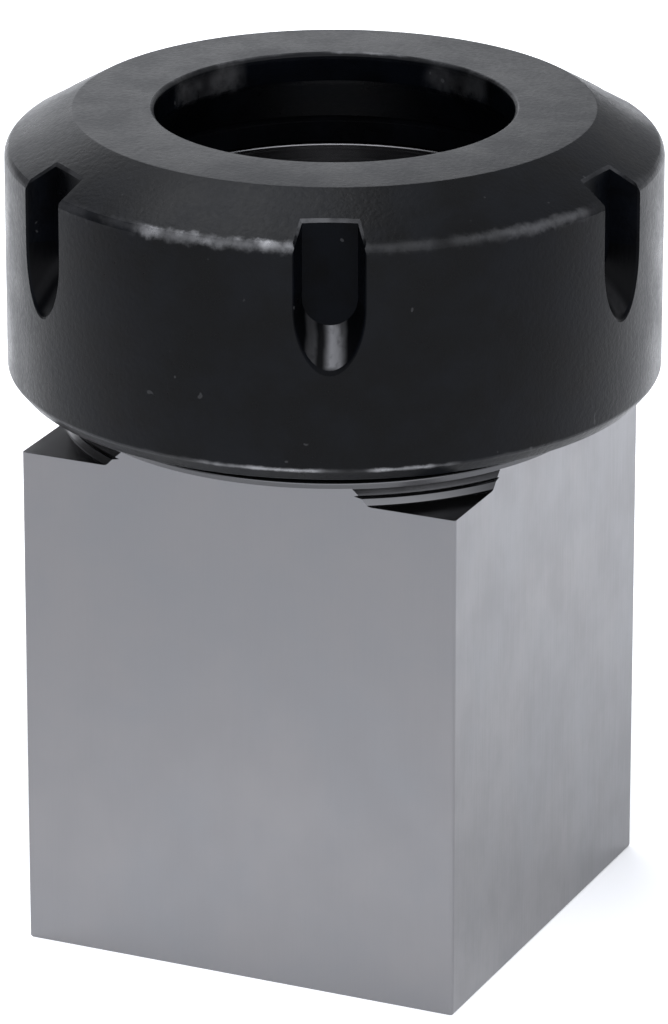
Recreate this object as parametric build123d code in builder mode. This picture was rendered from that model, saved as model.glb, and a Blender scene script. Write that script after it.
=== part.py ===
from build123d import *
from math import cos, radians, sin, tan
import os

# Square block for eight-degree spring collets with a slotted clamping nut on its nose.
# Origin at the middle of the block's base, +Z up the collet axis, sizes in millimetres.

# Collet seat: its mouth is the collet's large end, and it sets the size of everything round it
seat_mouth_radius = 20.5
seat_mouth_break = 0.4
seat_half_angle = 8.0
seat_length = 36.0
rear_bore_radius = 15.0
rear_chamfer = 1.0

# Walls round the seat: bar flats, threaded nose (M50 x 1.5, drawn as a plain cylinder), nut
flat_wall = 2.0
nose_wall = 4.5
thread_clearance = 0.05
nut_wall = 6.45

# Block: flats and turned nose
corner_height = 50.5
edge_break = 0.25
nose_length = 21.0
nose_chamfer = 1.0

# Collar at the root of the nose: the corners stop at its foot, the flats under its land
collar_height = 1.6
collar_base_flare = 1.3
collar_top_flare = 0.5
collar_land = 0.5
scribe_height = 0.85
scribe_width = 0.3
scribe_depth = 0.3

# Undercut where the thread runs out, with sloping ends
undercut_length = 2.5
undercut_depth = 1.1

# Clamping nut, outside
nut_gap = 4.3
face_chamfer_width = 6.5
face_chamfer_angle = 30.0
foot_chamfer_width = 1.1
foot_chamfer_height = 1.3

# Clamping nut, inside: lip, cone for the collet's nose, pocket, ring that draws the collet out
stop_clearance = 0.1
stop_depth = 9.9
lip_overhang = 3.3
lip_length = 2.8
lip_break = 0.3
nose_cone_angle = 30.0
pocket_length = 0.7
pocket_step = 0.2
ring_thickness = 2.0
ring_reach = 1.5
ring_offset = 0.9
ring_angle = 113.5
relief_length = 2.2
relief_depth = 0.4
mouth_chamfer = 1.0

# Six spanner slots: flat back, flared walls, rounded ramp at the foot
slot_count = 6
slot_angle = -66.5
slot_depth = 3.0
slot_back_width = 5.15
slot_mouth_width = 6.6
slot_back_reach = 12.2
slot_mouth_reach = 15.95
slot_straight = 9.6
slot_overrun = 1.5

# Radii that follow
block_side = 2 * (seat_mouth_radius + flat_wall)
thread_radius = seat_mouth_radius + nose_wall
nut_bore_radius = thread_radius + thread_clearance
nut_radius = nut_bore_radius + nut_wall
opening_radius = seat_mouth_radius - lip_overhang
ring_radius = seat_mouth_radius - ring_reach

# Heights that follow
collar_top = corner_height + collar_height
nose_top = corner_height + nose_length
nut_bottom = corner_height + nut_gap
nut_stop = nose_top + stop_clearance
nut_face = nut_stop + stop_depth

os.makedirs("parts", exist_ok=True)


def collar_radius(rise):
    """Radius of the sloping collar at `rise` above the block's corners."""
    taper = (collar_base_flare - collar_top_flare) / collar_height
    return thread_radius + collar_base_flare - taper * rise


def corner_relief():
    """Half section of what the lathe takes off the four corners, down to the collar and its scribed line."""
    scribe_foot = scribe_height - scribe_width / 2
    scribe_head = scribe_height + scribe_width / 2
    outside = block_side
    Polyline(
        (outside, corner_height),
        (collar_radius(0), corner_height),
        (collar_radius(scribe_foot), corner_height + scribe_foot),
        (collar_radius(scribe_height) - scribe_depth, corner_height + scribe_height),
        (collar_radius(scribe_head), corner_height + scribe_head),
        (collar_radius(collar_height), collar_top),
        (outside, collar_top),
        close=True,
    )


def nose_outline():
    """Half section of the round nose, from the collar's land over the undercut to the chamfered end."""
    land_top = collar_top + collar_land
    undercut_foot = land_top + collar_top_flare
    undercut_head = undercut_foot + undercut_length
    undercut_radius = thread_radius - undercut_depth
    Polyline(
        (0, collar_top),
        (collar_radius(collar_height), collar_top),
        (collar_radius(collar_height), land_top),
        (undercut_radius, undercut_foot + undercut_depth),
        (undercut_radius, undercut_head - undercut_depth),
        (thread_radius, undercut_head),
        (thread_radius, nose_top - nose_chamfer),
        (thread_radius - nose_chamfer, nose_top),
        (0, nose_top),
        close=True,
    )


def bore_outline():
    """Half section of the through hole: rear bore, then the collet seat opening to the nose."""
    taper = tan(radians(seat_half_angle))
    seat_foot = nose_top - seat_length
    Polyline(
        (0, 0),
        (rear_bore_radius + rear_chamfer, 0),
        (rear_bore_radius, rear_chamfer),
        (rear_bore_radius, seat_foot),
        (seat_mouth_radius - seat_length * taper, seat_foot),
        (seat_mouth_radius - seat_mouth_break * taper, nose_top - seat_mouth_break),
        (seat_mouth_radius + seat_mouth_break, nose_top),
        (0, nose_top),
        close=True,
    )


def nut_outline():
    """Half section of the nut before its ring is bored off centre and its slots are cut."""
    shoulder = nut_face - face_chamfer_width * tan(radians(face_chamfer_angle))
    cone_top = nut_face - lip_length
    ring_top = nut_stop + ring_thickness
    cone_foot = ring_top + pocket_length
    cone_radius = opening_radius + (cone_top - cone_foot) * tan(radians(nose_cone_angle))
    pocket_radius = ring_radius + ring_offset + pocket_step
    relief_radius = nut_bore_radius + relief_depth
    relief_foot = nut_stop - relief_length
    Polyline(
        (opening_radius + lip_break, nut_face),
        (nut_radius - face_chamfer_width, nut_face),
        (nut_radius, shoulder),
        (nut_radius, nut_bottom + foot_chamfer_height),
        (nut_radius - foot_chamfer_width, nut_bottom),
        (nut_bore_radius + mouth_chamfer, nut_bottom),
        (nut_bore_radius, nut_bottom + mouth_chamfer),
        (nut_bore_radius, relief_foot - relief_depth),
        (relief_radius, relief_foot),
        (relief_radius, nut_stop),
        (ring_radius - ring_offset, nut_stop),
        (ring_radius - ring_offset, ring_top),
        (pocket_radius, ring_top),
        (pocket_radius, cone_foot),
        (cone_radius, cone_foot),
        (opening_radius, cone_top),
        (opening_radius, nut_face - lip_break),
        close=True,
    )


def slot_outline(width, reach):
    """Upright slot, open past the nut's face, with a rounded foot that ends `reach` below the face."""
    foot = nut_face - slot_straight
    top = nut_face + slot_overrun
    half = width / 2
    Polyline((half, foot), (half, top), (-half, top), (-half, foot))
    EllipticalCenterArc((0, foot), half, reach - slot_straight, start_angle=180, arc_size=180)


with BuildPart() as square_block:
    with BuildSketch():
        Rectangle(block_side, block_side)
    extrude(amount=collar_top)
    chamfer(square_block.edges().filter_by(Axis.Z), edge_break)
    chamfer(square_block.faces().sort_by(Axis.Z)[0].edges(), edge_break)
    with BuildSketch(Plane.XZ):
        with BuildLine():
            corner_relief()
        make_face()
    revolve(axis=Axis.Z, mode=Mode.SUBTRACT)
    with BuildSketch(Plane.XZ):
        with BuildLine():
            nose_outline()
        make_face()
    revolve(axis=Axis.Z)
    with BuildSketch(Plane.XZ):
        with BuildLine():
            bore_outline()
        make_face()
    revolve(axis=Axis.Z, mode=Mode.SUBTRACT)

with BuildPart() as clamping_nut:
    with BuildSketch(Plane.XZ):
        with BuildLine():
            nut_outline()
        make_face()
    revolve(axis=Axis.Z)
    # The ring stands off centre, so it catches the collet's groove on one side and pulls it out
    with BuildSketch(Plane.XY.offset(nut_stop)):
        with PolarLocations(ring_offset, 1, start_angle=ring_angle):
            Circle(ring_radius)
    extrude(amount=ring_thickness, mode=Mode.SUBTRACT)
    # Each slot is cut between its back outline and its mouth outline, carried on past the rim
    carry = (slot_depth + slot_overrun) / slot_depth
    outer_width = slot_back_width + (slot_mouth_width - slot_back_width) * carry
    outer_reach = slot_back_reach + (slot_mouth_reach - slot_back_reach) * carry
    for slot in range(slot_count):
        turn = radians(slot_angle + slot * 360 / slot_count)
        across = (-sin(turn), cos(turn), 0)
        outward = Plane(origin=(0, 0, 0), x_dir=across, z_dir=(cos(turn), sin(turn), 0))
        with BuildSketch(outward.offset(nut_radius - slot_depth)):
            with BuildLine():
                slot_outline(slot_back_width, slot_back_reach)
            make_face()
        with BuildSketch(outward.offset(nut_radius + slot_overrun)):
            with BuildLine():
                slot_outline(outer_width, outer_reach)
            make_face()
        loft(ruled=True, mode=Mode.SUBTRACT)

square_block.part.label = "square_block"
clamping_nut.part.label = "clamping_nut"
export_step(square_block.part, "parts/square_block.step")
export_step(clamping_nut.part, "parts/clamping_nut.step")
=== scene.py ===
import bmesh
import bpy
from math import atan2, cos, hypot, pi, radians, sin, sqrt, tan
from mathutils import Matrix, Vector


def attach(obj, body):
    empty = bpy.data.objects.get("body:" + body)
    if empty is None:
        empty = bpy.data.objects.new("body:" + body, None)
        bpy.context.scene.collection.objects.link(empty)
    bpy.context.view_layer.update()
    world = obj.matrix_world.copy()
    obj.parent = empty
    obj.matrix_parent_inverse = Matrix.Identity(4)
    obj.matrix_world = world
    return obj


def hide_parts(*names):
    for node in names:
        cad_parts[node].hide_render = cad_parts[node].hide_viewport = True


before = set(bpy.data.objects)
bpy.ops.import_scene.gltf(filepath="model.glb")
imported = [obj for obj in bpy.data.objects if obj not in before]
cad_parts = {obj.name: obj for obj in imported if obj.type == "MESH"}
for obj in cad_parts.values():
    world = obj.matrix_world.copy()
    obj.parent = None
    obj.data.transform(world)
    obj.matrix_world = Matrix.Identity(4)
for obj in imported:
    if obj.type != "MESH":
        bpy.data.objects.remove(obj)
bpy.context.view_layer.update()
mm = 0.001
print("frame loaded")

# camera, at the photograph's angle

view = {
    "lens": 249.9,
    "distance": 0.691,
    "azimuth": 24.36,
    "elevation": 20.73,
    "aim": (-0.00006, 0.0, 0.04014),
}


def placeCamera():
    turn, rise = radians(view["azimuth"]), radians(view["elevation"])
    back = Vector((sin(turn) * cos(rise), -cos(turn) * cos(rise), sin(rise)))
    camera = bpy.data.objects.new("camera", bpy.data.cameras.new("camera"))
    camera.data.lens = view["lens"]
    camera.data.sensor_width = 36
    camera.location = Vector(view["aim"]) + back * view["distance"]
    camera.rotation_euler = back.to_track_quat("Z", "Y").to_euler()
    bpy.context.scene.collection.objects.link(camera)
    bpy.context.scene.camera = camera


placeCamera()


# shader helpers

class Signal:
    # a node's output that takes part in arithmetic
    def __init__(self, finish, socket):
        self.finish = finish
        self.socket = socket

    def math(self, operation, *values):
        inputs = {place: value for place, value in enumerate(values)}
        return self.finish.node("ShaderNodeMath", {"operation": operation}, inputs)

    def __add__(self, other): return self.math("ADD", self, other)
    def __radd__(self, other): return self.math("ADD", other, self)
    def __sub__(self, other): return self.math("SUBTRACT", self, other)
    def __rsub__(self, other): return self.math("SUBTRACT", other, self)
    def __mul__(self, other): return self.math("MULTIPLY", self, other)
    def __rmul__(self, other): return self.math("MULTIPLY", other, self)
    def __truediv__(self, other): return self.math("DIVIDE", self, other)
    def __rtruediv__(self, other): return self.math("DIVIDE", other, self)
    def __pow__(self, other): return self.math("POWER", self, other)
    def __abs__(self): return self.math("ABSOLUTE", self)


class Shading:
    # a node tree and its closing shader, and one way to add a node
    def node(self, kind, settings=None, inputs=None, output=0):
        made = self.tree.nodes.new(kind)
        for name, value in (settings or {}).items():
            setattr(made, name, value)
        for name, value in (inputs or {}).items():
            if isinstance(value, Signal):
                self.tree.links.new(value.socket, made.inputs[name])
            else:
                made.inputs[name].default_value = value
        return Signal(self, made.outputs[output])

    def ramp(self, value, low, high, start=0.0, end=1.0):
        inputs = {"Value": value, "From Min": low, "From Max": high, "To Min": start, "To Max": end}
        return self.node("ShaderNodeMapRange", {"interpolation_type": "SMOOTHSTEP"}, inputs)

    def feed(self, **inputs):
        for socket, value in inputs.items():
            self.tree.links.new(value.socket, self.shader.inputs[socket.replace("_", " ")])


class Finish(Shading):
    # a material and its Principled shader
    def __init__(self, name, **constants):
        self.material = bpy.data.materials.new(name)
        self.material.use_nodes = True
        self.tree = self.material.node_tree
        self.shader = self.tree.nodes["Principled BSDF"]
        for socket, value in constants.items():
            self.shader.inputs[socket].default_value = value

    def place(self, scale=(1, 1, 1)):
        spot = self.node("ShaderNodeTexCoord", output="Object")
        return self.node("ShaderNodeMapping", {}, {"Vector": spot, "Scale": scale})

    def cylinder(self):
        # distance from the axis and height in millimetres, and the angle round the axis in degrees
        spot = self.place((1000, 1000, 1000))
        x, y, z = (self.node("ShaderNodeSeparateXYZ", {}, {"Vector": spot}, axis) for axis in range(3))
        return (x * x + y * y) ** 0.5, z, x.math("ARCTAN2", y, x) * (180 / pi)

    def noise(self, size, detail=2, roughness=0.5, stretch=(1, 1, 1)):
        # size is that of the blotches, in millimetres
        spot = self.place(tuple(1000 * share / size for share in stretch))
        inputs = {"Vector": spot, "Scale": 1.0, "Detail": detail, "Roughness": roughness}
        return self.node("ShaderNodeTexNoise", {}, inputs)

    def blend(self, factor, first, second):
        settings = {"data_type": "RGBA"}
        return self.node("ShaderNodeMix", settings, {0: factor, 6: first, 7: second}, 2)

    def bump(self, height, distance, strength=1.0):
        inputs = {"Height": height, "Distance": distance, "Strength": strength}
        return self.node("ShaderNodeBump", {}, inputs)


# finishes

blackening = {
    "oxide": (0.0008, 0.0009, 0.0012, 1),
    "oxideCool": (0.0014, 0.0018, 0.0028, 1),
    "bareSteel": (0.34, 0.34, 0.35, 1),
    "roughness": (0.27, 0.38),
    "specular": 0.10,
    # painted shade: the slot faces reflect less, so the recesses look darker
    "slotShadeSpecular": 0.035,
    "grain": 0.5,        # mm, the fine texture of the turned faces
    "mottle": 6.0,       # mm
    "speck": 1.1,        # mm, stray bright specks
    "speckLevel": (0.775, 0.80),
    "speckWear": 0.05,
    "ragged": 1.3,       # mm, the worn edges' ragged outline
    "dash": 5.0,         # mm, their fainter and stronger lengths
    "dashLeast": 0.25,
    "throatPolish": 0.6,    # how much smoother the opening's wall is
}


def blackenedSteel(name, circles, slotShaded=False):
    # black oxide, rubbed through to bright steel along circles:
    # (radius, height, reach, strength all round, [(angle, half width, strength) of each worn arc])
    paint = Finish(name)
    # slot faces reflect less, as painted shade in the recesses
    paint.shader.inputs["Specular IOR Level"].default_value = (
        blackening["slotShadeSpecular"] if slotShaded else blackening["specular"])
    radius, height, angle = paint.cylinder()
    grain = paint.noise(blackening["grain"], 3, 0.6)
    mottle = paint.noise(blackening["mottle"], 4, 0.6)
    specks = paint.noise(blackening["speck"], 1, 0.5)
    wear = paint.ramp(specks, *blackening["speckLevel"], 0.0, blackening["speckWear"])
    ragged = paint.noise(blackening["ragged"], 4, 0.7)
    dashes = paint.ramp(paint.noise(blackening["dash"], 2, 0.5), 0.38, 0.56, blackening["dashLeast"], 1.0)
    for edgeRadius, edgeHeight, reach, everywhere, arcs in circles:
        across, up = radius - edgeRadius, height - edgeHeight
        gap = (across * across + up * up) ** 0.5 / reach
        strength = everywhere
        for centre, half, share in arcs:
            turn = abs(angle.math("WRAP", angle - centre, 180.0, -180.0))
            strength = strength + paint.ramp(turn, half, half * 0.6) * share
        wear = wear + paint.ramp(gap + ragged * 1.6, 1.8, 0.7) * strength * dashes
    wear = wear.math("MINIMUM", wear, 1.0)
    oxide = paint.blend(paint.ramp(mottle, 0.35, 0.65), blackening["oxide"], blackening["oxideCool"])
    low, high = blackening["roughness"]
    opening, face = nut["openingRadius"], nut["face"]
    throat = paint.ramp(radius, opening + 0.4, opening + 0.1) * paint.ramp(height, face - 0.5, face - 0.9)
    dull = paint.ramp(mottle * 0.6 + grain * 0.4, 0.35, 0.65, low, high) - wear * 0.06
    paint.feed(
        Base_Color=paint.blend(wear, oxide, blackening["bareSteel"]),
        Metallic=wear,
        Roughness=dull * (1 - throat * blackening["throatPolish"]),
        Normal=paint.bump(grain, 0.00003),
    )
    return paint.material


slotRamp = {
    "steel": (0.075, 0.075, 0.078, 1),
    # stripes of bare steel placed as painted reflection, in mm across the slot: middle, then how far from it
    # they end and are full
    "brightStripe": (0.45, 1.2, 0.35),
    "dimStripe": (-1.7, 0.65, 0.2),
    "dimShare": 0.3,
    "otherSlotsSheen": 0.12,  # share of the stripes in the slots beside the first; the first faces the camera and carries the painted reflection
    "waver": 0.7,        # mm
}


def slotRampSheen(name):
    # the ramp at each slot's foot: bare steel stripes along it, where the oxide is thin, set mostly in the
    # first slot as a painted reflection
    paint = Finish(name)
    paint.shader.inputs["Specular IOR Level"].default_value = blackening["slotShadeSpecular"]
    radius, height, angle = paint.cylinder()
    share = 360 / slot["count"]
    turn = angle.math("WRAP", angle - slot["angle"], share / 2, -share / 2)
    across = radius * turn * (pi / 180) + (paint.noise(2.5, 2, 0.5, (1, 1, 0.25)) - 0.5) * slotRamp["waver"]

    def stripe(middle, end, full):
        return paint.ramp(abs(across - middle), end, full)

    toe = nut["face"] - slot["mouthReach"]
    first = abs(angle.math("WRAP", angle - slot["angle"], 180.0, -180.0))
    bareAndSheen = stripe(*slotRamp["brightStripe"]) + stripe(*slotRamp["dimStripe"]) * slotRamp["dimShare"]
    bareAndSheen = bareAndSheen * paint.ramp(height, toe + 0.1, toe + 0.7)
    # painted reflection: the stripes are kept mostly to the first slot, which faces the camera
    bareAndSheen = bareAndSheen * paint.ramp(first, 20, 40, 1.0, slotRamp["otherSlotsSheen"])
    bareAndSheen = bareAndSheen * paint.ramp(paint.noise(0.8, 3, 0.6), 0.25, 0.5, 0.7, 1.0)
    paint.feed(
        Base_Color=paint.blend(bareAndSheen, blackening["oxide"], slotRamp["steel"]),
        Metallic=bareAndSheen,
        Roughness=bareAndSheen * -0.12 + 0.4,
        Normal=paint.bump(paint.noise(0.4, 2, 0.5, (1, 1, 0.1)), 0.00002),
    )
    return paint.material


grinding = {
    "steel": (0.181, 0.179, 0.184, 1),
    "steelWarm": (0.185, 0.182, 0.186, 1),
    "steelCool": (0.174, 0.175, 0.182, 1),
    "roughness": (0.30, 0.40),
    "turnedRoughness": (0.18, 0.25),
    "turnedShade": 0.95,
    "collarPaintedShade": 0.5,  # painted shade under the nut's overhang: the collar, the undercut and the thread are darkened
    "cloud": 14.0,       # mm
    "scratch": 0.16,     # mm, pitch of the grinding marks
}


def groundSteel(name, turned=False):
    # bright steel with faint cloudy stains, ground along the flats or turned on the nose; the turned piece
    # gets painted shade under the nut
    steel = Finish(name, Metallic=1.0)
    cloud = steel.noise(grinding["cloud"], 4, 0.6)
    patch = steel.noise(grinding["cloud"] * 0.4, 3, 0.6, (1, 1, 0.8))
    if turned:
        radius, height, angle = steel.cylinder()
        marks = steel.node("ShaderNodeTexNoise", {"noise_dimensions": "1D"},
                           {"W": radius + height, "Scale": 4.0, "Detail": 2.0})
    else:
        marks = steel.noise(grinding["scratch"], 3, 0.6, (1, 1, 0.03))
    tone = steel.blend(steel.ramp(cloud, 0.35, 0.65), grinding["steelCool"], grinding["steelWarm"])
    tone = steel.blend(steel.ramp(patch, 0.35, 0.65) * 0.5, tone, grinding["steel"])
    if turned:
        foot, mouth = block["collarFoot"], block["seatMouth"]
        # painted shade: darkens the collar, the undercut and the thread, which sit under the nut's overhang
        collar = steel.ramp(radius, foot + 0.15, foot) * steel.ramp(radius, mouth + 1.5, mouth + 2)
        shade = collar * (grinding["collarPaintedShade"] - grinding["turnedShade"]) + grinding["turnedShade"]
        tone = steel.blend(shade, (0, 0, 0, 1), tone)
    low, high = grinding["turnedRoughness" if turned else "roughness"]
    dull = steel.ramp(patch * 0.6 + marks * 0.4, 0.35, 0.65, low, high)
    steel.feed(
        Base_Color=tone,
        Roughness=dull,
        Normal=steel.bump(marks, 0.000005),
    )
    return steel.material


# mesh helpers

def turnedSolid(corners, steps, threaded=None):
    # a closed ring turned from its half section: (radius, height, rounding) at each corner
    bm = bmesh.new()
    rounding = {}
    verts = []
    for radius, height, size in corners:
        vert = bm.verts.new((radius, 0, height))
        verts.append(vert)
        if size:
            rounding.setdefault(size, []).append(vert)
    bm.faces.new(verts)
    for (size, segments), group in rounding.items():
        bmesh.ops.bevel(bm, geom=group, offset=size, offset_type="OFFSET", segments=segments,
                        profile=0.5, affect="VERTICES", material=-1)
    bmesh.ops.delete(bm, geom=bm.faces[:], context="FACES_ONLY")
    if threaded:
        radius, low, high, rows = threaded
        wall = [edge for edge in bm.edges if all(
            abs(vert.co.x - radius) < 0.01 and low < vert.co.z < high for vert in edge.verts)]
        bmesh.ops.subdivide_edges(bm, edges=wall, cuts=rows)
    bmesh.ops.spin(bm, geom=bm.verts[:] + bm.edges[:], cent=(0, 0, 0), axis=(0, 0, 1), angle=2 * pi,
                   steps=steps, use_merge=True, use_duplicate=False)
    bmesh.ops.recalc_face_normals(bm, faces=bm.faces)
    return bm


def cutThread(bm, radius, low, high, depth, pitch, runout):
    # a right-hand V groove, cut by moving the turned wall's points: depth is negative on a nose
    for vert in bm.verts:
        away = hypot(vert.co.x, vert.co.y)
        if abs(away - radius) > 0.005 or not low < vert.co.z < high:
            continue
        lead = (vert.co.z / pitch - atan2(vert.co.y, vert.co.x) / (2 * pi)) % 1
        groove = min(max(1.2 * (1 - abs(2 * lead - 1)) - 0.1, 0), 1)
        fade = min((vert.co.z - low) / runout, (high - vert.co.z) / runout, 1)
        size = (away + depth * groove * fade) / away
        vert.co.x *= size
        vert.co.y *= size


def pushOut(bm, face, keep=False):
    # extrudes one face and gives back its copy at the far end
    grown = bmesh.ops.extrude_face_region(bm, geom=[face])["geom"]
    if not keep:
        bmesh.ops.delete(bm, geom=[face], context="FACES_ONLY")
    return next(item for item in grown if isinstance(item, bmesh.types.BMFace))


def meshObject(name, bm, *materials):
    bmesh.ops.scale(bm, vec=(mm, mm, mm), verts=bm.verts)
    mesh = bpy.data.meshes.new(name)
    bm.to_mesh(mesh)
    bm.free()
    for material in materials:
        mesh.materials.append(material)
    made = bpy.data.objects.new(name, mesh)
    bpy.context.scene.collection.objects.link(made)
    return made


def carve(target, cutter, operation="DIFFERENCE"):
    # applies one boolean and puts its result in the target's mesh
    step = target.modifiers.new("carve", "BOOLEAN")
    step.operation = operation
    step.solver = "EXACT"
    step.object = cutter
    shown = target.evaluated_get(bpy.context.evaluated_depsgraph_get())
    result = bpy.data.meshes.new_from_object(shown)
    target.modifiers.remove(step)
    spare = target.data
    target.data = result
    result.name = target.name
    bpy.data.meshes.remove(spare)
    bpy.data.meshes.remove(cutter.data)


def mendSeams(target):
    # closes what the booleans leave: points that meet, slivers, and faces with many corners
    bm = bmesh.new()
    bm.from_mesh(target.data)
    bmesh.ops.remove_doubles(bm, verts=bm.verts, dist=0.001 * mm)
    bmesh.ops.dissolve_degenerate(bm, edges=bm.edges, dist=0.002 * mm)
    bmesh.ops.triangulate(bm, faces=[face for face in bm.faces if len(face.verts) > 4])
    bmesh.ops.dissolve_degenerate(bm, edges=bm.edges, dist=0.002 * mm)
    bm.to_mesh(target.data)
    bm.free()


def smoothFaces(target, limit):
    for face in target.data.polygons:
        face.use_smooth = True
    target.data.set_sharp_from_angle(angle=radians(limit))


# clamping nut

nut = {
    "radius": 31.5,
    "face": 81.5,
    "bottom": 54.8,
    "chamferWidth": 6.5,
    "chamferAngle": 30.0,
    "footChamfer": (1.1, 1.3),      # width and height
    "openingRadius": 17.2,
    "lipLength": 2.8,
    "lipBreak": 0.3,
    "boreRadius": 25.05,
    "stop": 71.6,
    "relief": (2.2, 0.4),           # length and depth
    "ringInner": 18.1,
    "ringRadius": 19.0,
    "ringOffset": 0.9,
    "ringAngle": 113.5,
    "ringTop": 73.6,
    "pocketRadius": 20.1,
    "pocketTop": 74.3,
    "threadDepth": 0.9,
    "threadRows": 70,
    "pitch": 1.5,
    "shoulderRounding": 0.75,
    "steps": 240,
}
slot = {
    "count": 6,
    "angle": -66.5,
    "depth": 3.0,
    "backWidth": 5.15,
    "mouthWidth": 6.6,
    "backReach": 12.2,
    "mouthReach": 15.95,
    "straight": 9.6,
    "edgeBreak": 0.22,
    "segments": 24,
}
slope = tan(radians(nut["chamferAngle"]))
shoulder = nut["face"] - nut["chamferWidth"] * slope
slotBack = nut["radius"] - slot["depth"]
slotWiden = (slot["mouthWidth"] - slot["backWidth"]) / 2 / slot["depth"]
slotDrop = (slot["mouthReach"] - slot["backReach"]) / slot["depth"]


def nutBody():
    coneTop = nut["face"] - nut["lipLength"]
    coneRadius = nut["openingRadius"] + (coneTop - nut["pocketTop"]) * slope
    outer, opening, bore = nut["radius"], nut["openingRadius"], nut["boreRadius"]
    chamferWidth, chamferHeight = nut["footChamfer"]
    reliefLength, reliefDepth = nut["relief"]
    reliefFoot = nut["stop"] - reliefLength
    fine, broken = (0.06, 1), (0.15, 2)
    corners = [
        (opening + nut["lipBreak"], nut["face"], fine),
        (outer - nut["chamferWidth"], nut["face"], broken),
        (outer, shoulder, (nut["shoulderRounding"], 5)),
        (outer, nut["bottom"] + chamferHeight, (0.3, 3)),
        (outer - chamferWidth, nut["bottom"], broken),
        (bore + 1, nut["bottom"], fine),
        (bore, nut["bottom"] + 1, None),
        (bore, reliefFoot - reliefDepth, None),
        (bore + reliefDepth, reliefFoot, None),
        (bore + reliefDepth, nut["stop"], None),
        (nut["ringInner"], nut["stop"], None),
        (nut["ringInner"], nut["ringTop"], None),
        (nut["pocketRadius"], nut["ringTop"], None),
        (nut["pocketRadius"], nut["pocketTop"], None),
        (coneRadius, nut["pocketTop"], None),
        (opening, coneTop, fine),
        (opening, nut["face"] - nut["lipBreak"], fine),
    ]
    thread = (bore, nut["bottom"] + 0.9, reliefFoot - 0.3)
    bm = turnedSolid(corners, nut["steps"], (*thread, nut["threadRows"]))
    evenly = Matrix.Rotation(radians(slot["angle"]), 3, "Z")        # facets even about the slots
    bmesh.ops.rotate(bm, cent=(0, 0, 0), matrix=evenly, verts=bm.verts)
    ring = [vert for vert in bm.verts if abs(hypot(vert.co.x, vert.co.y) - nut["ringInner"]) < 0.02]
    share = nut["ringRadius"] / nut["ringInner"]
    bmesh.ops.scale(bm, vec=(share, share, 1), verts=ring)          # the ring is bored off centre
    aside = Matrix.Rotation(radians(nut["ringAngle"]), 3, "Z") @ Vector((nut["ringOffset"], 0, 0))
    bmesh.ops.translate(bm, vec=aside, verts=ring)
    cutThread(bm, *thread, nut["threadDepth"], nut["pitch"], 1.5)
    return bm


def turnInto(verts, turn, height):
    # from across, up and outward to the nut's own place
    side, out = Vector((-sin(turn), cos(turn), 0)), Vector((cos(turn), sin(turn), 0))
    for vert in verts:
        across, up, outward = vert.co
        vert.co = side * across + out * outward + Vector((0, 0, up + height))


def slotCutter(bm, turn):
    # the slot's outline, extruded outward in layers that follow the round side and flare past the rim
    unit = bm.verts.layers.float_vector["outline"]
    half, foot = slot["backWidth"] / 2, slot["backReach"] - slot["straight"]
    rim, ease = nut["radius"], slot["edgeBreak"]
    made = bmesh.ops.create_circle(bm, cap_ends=True, segments=2 * slot["segments"], radius=1)["verts"]
    for vert in made:
        across, up, lift = vert.co.x, vert.co.y, 0
        if up > 0.001:      # the upper half becomes two straight sides and a flat top
            across = max(-1, min(1, across / cos(pi / slot["segments"])))
            up, lift = 0, slot["straight"] + 1.5
        vert[unit] = (across, up, lift)
        vert.co = (across * half, up * foot + lift, slotBack)
    region = made[0].link_faces[0]
    verts = set(made)
    layers = [
        (rim - ease, 0),
        (rim - 0.3 * ease, 0.3 * ease),
        (rim + 0.03, 1.1 * ease),
        (rim + 1.5, ease + 1.5),
    ]
    for number, (reach, flare) in enumerate(layers):
        region = pushOut(bm, region, keep=number == 0)
        for vert in region.verts:
            across, up, lift = vert[unit]
            out = sqrt(reach ** 2 - (across * (half + slotWiden * (reach - slotBack))) ** 2)
            width = half + slotWiden * (out - slotBack) + flare
            vert.co = (across * width, up * (foot + slotDrop * (out - slotBack) + flare) + lift, out)
        verts |= set(region.verts)
    turnInto(verts, turn, nut["face"] - slot["straight"])


def mouthCutter(bm, turn):
    # breaks the slot's edges on the sloping face: a tray that widens upward, bent to follow the cone
    ease = slot["edgeBreak"]
    made = bmesh.ops.create_grid(bm, x_segments=6, y_segments=6, size=1)["verts"]
    plan = {vert: (vert.co.x / 2 + 0.5, vert.co.y) for vert in made}
    grown = bmesh.ops.extrude_face_region(bm, geom=list({face for vert in made for face in vert.link_faces}))
    upper = [item for item in grown["geom"] if isinstance(item, bmesh.types.BMVert)]
    top = {vert: (vert.co.x / 2 + 0.5, vert.co.y) for vert in upper}
    for places, lift in ((plan, -1.2), (top, 1.5)):
        flare = lift + ease
        for vert, (outward, across) in places.items():
            out = slotBack - flare + outward * (nut["radius"] + 1.5 - slotBack + flare)
            width = across * (slot["backWidth"] / 2 + slotWiden * (out - slotBack) + flare)
            cone = nut["face"] - (hypot(out, width) - nut["radius"] + nut["chamferWidth"]) * slope
            vert.co = (width, cone + lift, out)
    turnInto(list(plan) + list(top), turn, 0)


def sixTimes(makeCutter, name, *materials):
    bm = bmesh.new()
    bm.verts.layers.float_vector.new("outline")
    for number in range(slot["count"]):
        makeCutter(bm, radians(slot["angle"] + number * 360 / slot["count"]))
    bmesh.ops.recalc_face_normals(bm, faces=bm.faces)
    limit = nut["radius"] - slot["edgeBreak"] * 1.3
    foot = nut["face"] - slot["straight"] + 0.05
    for face in bm.faces:
        flared = all(hypot(vert.co.x, vert.co.y) > limit for vert in face.verts)
        ramp = all(vert.co.z < foot for vert in face.verts)
        face.material_index = 2 if flared or makeCutter is mouthCutter else 3 if ramp else 1
    return meshObject(name, bm, *materials)


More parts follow.
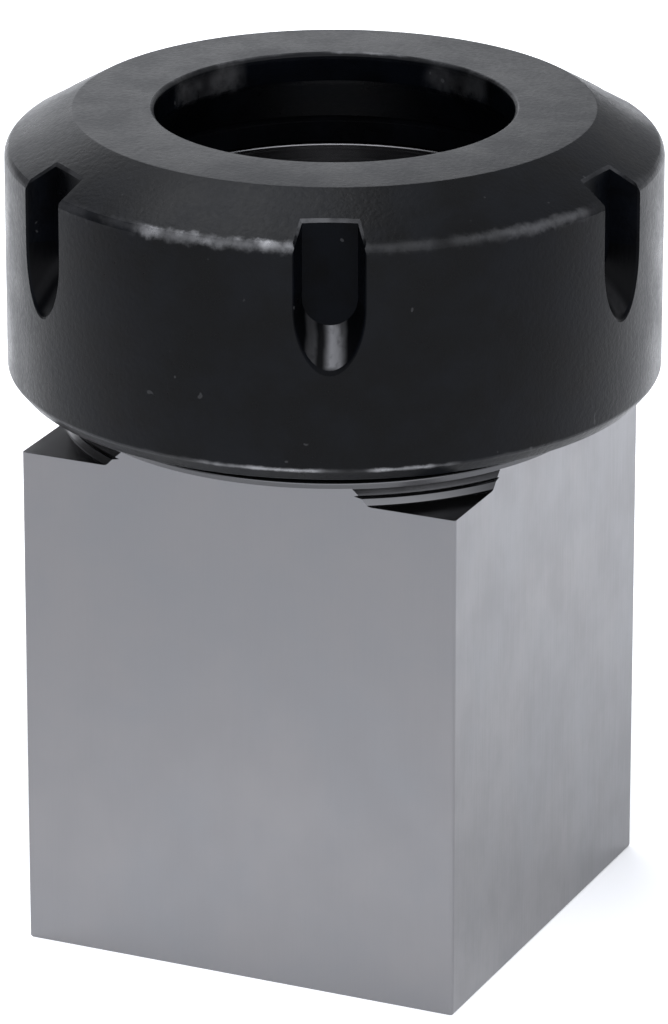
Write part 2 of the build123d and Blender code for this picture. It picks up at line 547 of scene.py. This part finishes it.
slotTop = nut["face"] - (slotBack - nut["radius"] + nut["chamferWidth"]) * slope
wornEdges = {
    # radius, height, reach, strength all round, [(angle, half width, strength) of each worn arc]
    "shoulder": (nut["radius"] - 0.15, shoulder + 0.05, 0.9, 0.05,
                 [(-86, 17, 0.75), (-28, 16, 0.09), (60, 20, 0.3), (150, 25, 0.25)]),
    "foot": (nut["radius"] - 0.1, nut["bottom"] + 1.25, 0.35, 0.05,
             [(-77, 14, 0.5), (-52, 9, 0.5), (40, 25, 0.4), (170, 30, 0.4)]),
    "lip": (nut["openingRadius"] + 0.25, nut["face"], 0.25, 0.1, [(103, 14, 0.7)]),
    "throat": (nut["openingRadius"], nut["face"] - 1.4, 2.2, 0.0, [(161, 18, 0.10), (70, 16, 0.05)]),
    "slotRim": (slotBack, slotTop, 3.2, 0.07, [(slot["angle"], 14, 0.10)]),
}
turnedEdges = [wornEdges[place] for place in ("shoulder", "foot", "lip", "throat")]
nutFinishes = [
    blackenedSteel("blackened steel", turnedEdges),
    blackenedSteel("blackened slots with painted shade", [], slotShaded=True),
    blackenedSteel("blackened slot rims", [wornEdges["slotRim"]], slotShaded=True),
    slotRampSheen("slot ramps with painted sheen"),
]
clampingNut = meshObject("clampingNut", nutBody(), *nutFinishes)
carve(clampingNut, sixTimes(slotCutter, "slotCutters", *nutFinishes))
carve(clampingNut, sixTimes(mouthCutter, "mouthCutters", *nutFinishes))
mendSeams(clampingNut)
smoothFaces(clampingNut, 11)
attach(clampingNut, "nut")
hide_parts("clamping_nut")
print("nut made", len(clampingNut.data.polygons), "faces")


# square block

block = {
    "side": 45.0,
    "corners": 50.5,
    "nose": 71.5,
    "threadRadius": 25.0,
    "threadDepth": 0.9,
    "threadRows": 80,
    "collarTop": 52.1,
    "landTop": 52.6,
    "collarFoot": 26.3,
    "collarHead": 25.5,
    "scribeHeight": 51.35,
    "scribeWidth": 0.3,
    "scribeDepth": 0.3,
    "undercutRadius": 23.9,
    "undercutHead": 55.6,
    "seatMouth": 20.5,
    "seatLength": 36.0,
    "seatAngle": 8.0,
    "rearBore": 15.0,
    "edgeBreak": 0.28,
    "steps": 240,
}


def blockTurned():
    # everything that is round: corner tops, collar, undercut, threaded nose, seat and rear bore,
    # from below the base, where the square envelope trims it
    taper = tan(radians(block["seatAngle"]))
    seatFoot = block["nose"] - block["seatLength"]
    side, head, foot = block["side"], block["collarHead"], block["collarFoot"]
    fall = (foot - head) / (block["collarTop"] - block["corners"])

    def collar(height):
        return foot - (height - block["corners"]) * fall

    line, half = block["scribeHeight"], block["scribeWidth"] / 2
    under, run, thread = block["undercutRadius"], head - block["undercutRadius"], block["threadRadius"]
    corners = [
        (block["rearBore"] + 3, -2, None),
        (side * 0.75, -2, None),
        (side * 0.75, block["corners"], None),
        (foot, block["corners"], (0.15, 2)),
        (collar(line - half), line - half, None),
        (collar(line) - block["scribeDepth"], line, None),
        (collar(line + half), line + half, None),
        (head, block["collarTop"] - 0.06, None),
        (head, block["landTop"], (0.1, 2)),
        (under, block["landTop"] + run, (0.3, 2)),
        (under, block["undercutHead"] - thread + under, (0.3, 2)),
        (thread, block["undercutHead"], None),
        (thread, block["nose"] - 1, None),
        (thread - 1, block["nose"], (0.1, 1)),
        (block["seatMouth"] + 0.4, block["nose"], (0.06, 1)),
        (block["seatMouth"] - 0.4 * taper, block["nose"] - 0.4, (0.06, 1)),
        (block["seatMouth"] - block["seatLength"] * taper, seatFoot, None),
        (block["rearBore"], seatFoot, None),
        (block["rearBore"], 1, None),
    ]
    nose = (thread, block["undercutHead"] - 0.1, block["nose"] - 0.9)
    bm = turnedSolid(corners, block["steps"], (*nose, block["threadRows"]))
    cutThread(bm, *nose, -block["threadDepth"], nut["pitch"], 1.5)
    return bm


def squareEnvelope():
    # what the flats leave: a square prism, open above the collar
    bm = bmesh.new()
    side, top, ease = block["side"], block["collarTop"], block["edgeBreak"]
    bmesh.ops.create_cube(bm, size=1)
    bmesh.ops.scale(bm, vec=(side, side, top), verts=bm.verts)
    bmesh.ops.translate(bm, vec=(0, 0, top / 2), verts=bm.verts)
    kept = [edge for edge in bm.edges if min(vert.co.z for vert in edge.verts) < 0.01]
    bmesh.ops.bevel(bm, geom=kept, offset=ease, offset_type="OFFSET", segments=3,
                    profile=0.5, affect="EDGES", material=-1)
    lid = max(bm.faces, key=lambda face: face.calc_center_median().z)
    for share, height in ((1.6, 0), (1, 30)):
        lid = pushOut(bm, lid)
        bmesh.ops.scale(bm, vec=(share, share, 1), verts=lid.verts)
        bmesh.ops.translate(bm, vec=(0, 0, height), verts=lid.verts)
    bmesh.ops.recalc_face_normals(bm, faces=bm.faces)
    return bm


def breakCornerTops(target):
    bm = bmesh.new()
    bm.from_mesh(target.data)
    edges = []
    for edge in bm.edges:
        middle = (edge.verts[0].co + edge.verts[1].co) / 2 / mm
        flat = max(abs(middle.x), abs(middle.y)) > block["side"] / 2 - 0.01
        if abs(middle.z - block["corners"]) < 0.01 and flat and edge.calc_length() > 0.002:
            edges.append(edge)
    bmesh.ops.bevel(bm, geom=edges, offset=0.12 * mm, offset_type="OFFSET", segments=1,
                    profile=0.5, affect="EDGES", material=-1)
    bm.to_mesh(target.data)
    bm.free()


blockFinishes = [groundSteel("ground steel"), groundSteel("turned steel", turned=True)]
squareBlock = meshObject("squareBlock", blockTurned(), *blockFinishes)
for face in squareBlock.data.polygons:
    face.material_index = 1
carve(squareBlock, meshObject("squareEnvelope", squareEnvelope(), *blockFinishes), "INTERSECT")
breakCornerTops(squareBlock)
mendSeams(squareBlock)
smoothFaces(squareBlock, 11)
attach(squareBlock, "block")
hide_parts("square_block")
print("block made", len(squareBlock.data.polygons), "faces")


# studio

studio = {
    "floorTone": (0.90, 0.90, 0.905, 1),
    "tint": (0.96, 0.98, 1.03, 1),
    "fill": 0.10,        # strength of the sky outside the panels
    "panels": [
        # turn from straight behind the part (left is positive) and rise, in degrees,
        # reach from the panel's middle to where it fades out, strength
        (24, 16, 32, 0.42),
        (13, 25, 30, 1.55),
        (-26, 17, 32, 0.44),
        (48, 69, 24, 4.7),
        (0, 90, 60, 0.75),
        (-90, 17, 72, 0.58),
        (180, 22, 72, 2.5),
    ],
    "tableGlow": 0.56,   # the floor's own glow, which rises behind the part and away from it
    "tableEdges": (-0.15, 0.16),    # metres behind the part: no glow yet, all of it
    "tableClear": (0.03, 0.138),    # metres from its middle, likewise
    "nearGlow": 1.0,     # share of that round a spot in front, which the ground side mirrors
    "nearSpot": (0.0, -0.044, 0),
    "nearReach": (0.085, 0.01),     # metres from the spot: no glow yet, all of it
}


class Sky(Shading):
    def __init__(self, name):
        self.world = bpy.data.worlds.new(name)
        self.world.use_nodes = True
        self.tree = self.world.node_tree
        self.shader = self.tree.nodes["Background"]
        self.shader.inputs["Strength"].default_value = 1.0


def facing(turn, rise):
    # direction from the part, turned from straight behind it as the camera sees it
    around = radians(view["azimuth"] + turn)
    return Vector((-sin(around) * cos(radians(rise)), cos(around) * cos(radians(rise)), sin(radians(rise))))


def lightSky():
    sky = Sky("studio")
    towards = sky.node("ShaderNodeTexCoord", output="Generated")
    light = studio["fill"]
    for turn, rise, reach, strength in studio["panels"]:
        near = sky.node("ShaderNodeVectorMath", {"operation": "DOT_PRODUCT"},
                        {0: towards, 1: facing(turn, rise)}, "Value")
        light = light + sky.ramp(near, cos(radians(reach)), 1.0) * strength
    sky.feed(Color=sky.node("ShaderNodeVectorMath", {"operation": "SCALE"},
                            {0: studio["tint"][:3], "Scale": light}))
    bpy.context.scene.world = sky.world


def lightTable():
    # a white floor that glows behind the part, and round a spot in front of it
    table = Finish("light table", Roughness=0.9)
    table.shader.inputs["Emission Strength"].default_value = studio["tableGlow"]
    behind = table.node("ShaderNodeVectorMath", {"operation": "DOT_PRODUCT"},
                        {0: table.place(), 1: facing(0, 0)}, "Value")
    away = table.node("ShaderNodeVectorMath", {"operation": "DISTANCE"},
                      {0: table.place(), 1: studio["nearSpot"]}, "Value")
    far = table.node("ShaderNodeVectorMath", {"operation": "LENGTH"}, {0: table.place()}, "Value")
    glow = table.ramp(behind, *studio["tableEdges"]) * table.ramp(far, *studio["tableClear"])
    glow = glow + table.ramp(away, *studio["nearReach"]) * studio["nearGlow"]
    table.feed(
        Base_Color=table.blend(table.noise(400), studio["floorTone"], (0.88, 0.88, 0.88, 1)),
        Emission_Color=table.blend(glow, (0, 0, 0, 1), studio["tint"]),
    )
    return table.material


bm = bmesh.new()
bmesh.ops.create_circle(bm, cap_ends=True, segments=96, radius=4000)
floorDisc = meshObject("floorDisc", bm, lightTable())
lightSky()
bpy.context.scene.view_settings.view_transform = "Standard"
print("studio lit")
